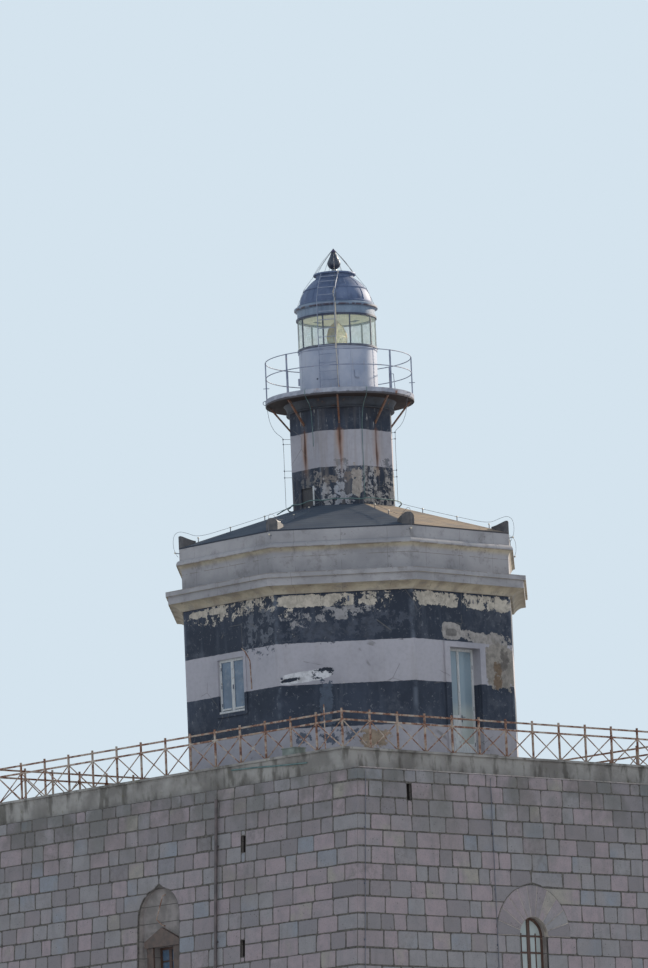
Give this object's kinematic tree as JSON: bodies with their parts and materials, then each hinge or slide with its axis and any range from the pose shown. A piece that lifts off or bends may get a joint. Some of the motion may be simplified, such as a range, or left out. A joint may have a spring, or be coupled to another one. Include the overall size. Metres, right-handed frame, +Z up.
{
  "type": "lighthouse on a square stone tower",
  "caption": "Harbour lighthouse: a square ashlar tower with a railed terrace, an eight-sided banded keeper's house, a banded shaft, a gallery and a domed lantern with a lens.",
  "frame": {"origin": "on the ground at the middle of the tower's base", "axes": "+Z up, +X towards the side with the door of the house, -Y towards the front with the window niches"},
  "size_m": [15.94, 17.8518, 39.75],
  "materials": {
    "tower_stone": "rough",
    "dressed_stone": "matte",
    "terrace_render": "rough",
    "floor_slab": "matte",
    "house_plaster": "matte",
    "trim_plaster": "matte",
    "roof_slate": "matte",
    "railing_iron": "matte",
    "gallery_iron": "satin",
    "lantern_metal": "satin",
    "dome_metal": "satin",
    "brown_wood": "matte",
    "cream_wood": "satin",
    "window_glass": "gloss",
    "lens_glass": "gloss",
    "lens_brass": "satin",
    "pedestal_iron": "satin"
  },
  "bodies": {
    "tower": {"stone_wall_front": "tower_stone", "stone_wall_back": "tower_stone", "stone_wall_left": "tower_stone", "stone_wall_right": "tower_stone", "window_arch_bands": "dressed_stone", "window_hoods": "dressed_stone", "entrance_surround": "dressed_stone", "terrace_slab": "terrace_render", "door_steps": "terrace_render", "storey_floors": "floor_slab", "house_floor": "floor_slab", "house_wall_front": "house_plaster", "house_wall_back": "house_plaster", "house_wall_left": "house_plaster", "house_wall_right": "house_plaster", "house_walls_diagonal": "house_plaster", "shaft_wall": "house_plaster", "cornice": "trim_plaster", "attic": "trim_plaster", "corner_blocks": "trim_plaster", "door_architrave": "trim_plaster", "house_window_surrounds": "trim_plaster", "gallery_neck": "trim_plaster", "roof": "roof_slate", "terrace_railing_front": "railing_iron", "terrace_railing_back": "railing_iron", "terrace_railing_left": "railing_iron", "terrace_railing_right": "railing_iron", "gallery_slab": "gallery_iron", "gallery_posts": "gallery_iron", "gallery_rails": "gallery_iron", "gallery_struts": "gallery_iron", "ladder": "gallery_iron", "drainpipes": "gallery_iron", "lantern_drum": "lantern_metal", "drum_door": "lantern_metal", "lantern_sill": "lantern_metal", "lantern_bars": "lantern_metal", "lantern_entablature": "lantern_metal", "lantern_ceiling": "lantern_metal", "dome": "dome_metal", "vent_collar": "dome_metal", "finial": "dome_metal", "tower_window_frames": "brown_wood", "entrance_door": "brown_wood", "shaft_hatch": "brown_wood", "house_window_frames": "cream_wood", "terrace_door": "cream_wood", "tower_window_glass": "window_glass", "house_window_glass": "window_glass", "lantern_glass": "window_glass", "lens_pedestal": "pedestal_iron"},
    "optic": {"lens_frame": "lens_brass", "lens_glass": "lens_glass"}
  },
  "joints": [
    {"name": "optic_turn", "type": "hinge", "parent": "tower", "child": "optic", "pos_m": [0, 0, 36.576], "axis": [0, 0, 1], "continuous": true}
  ]
}
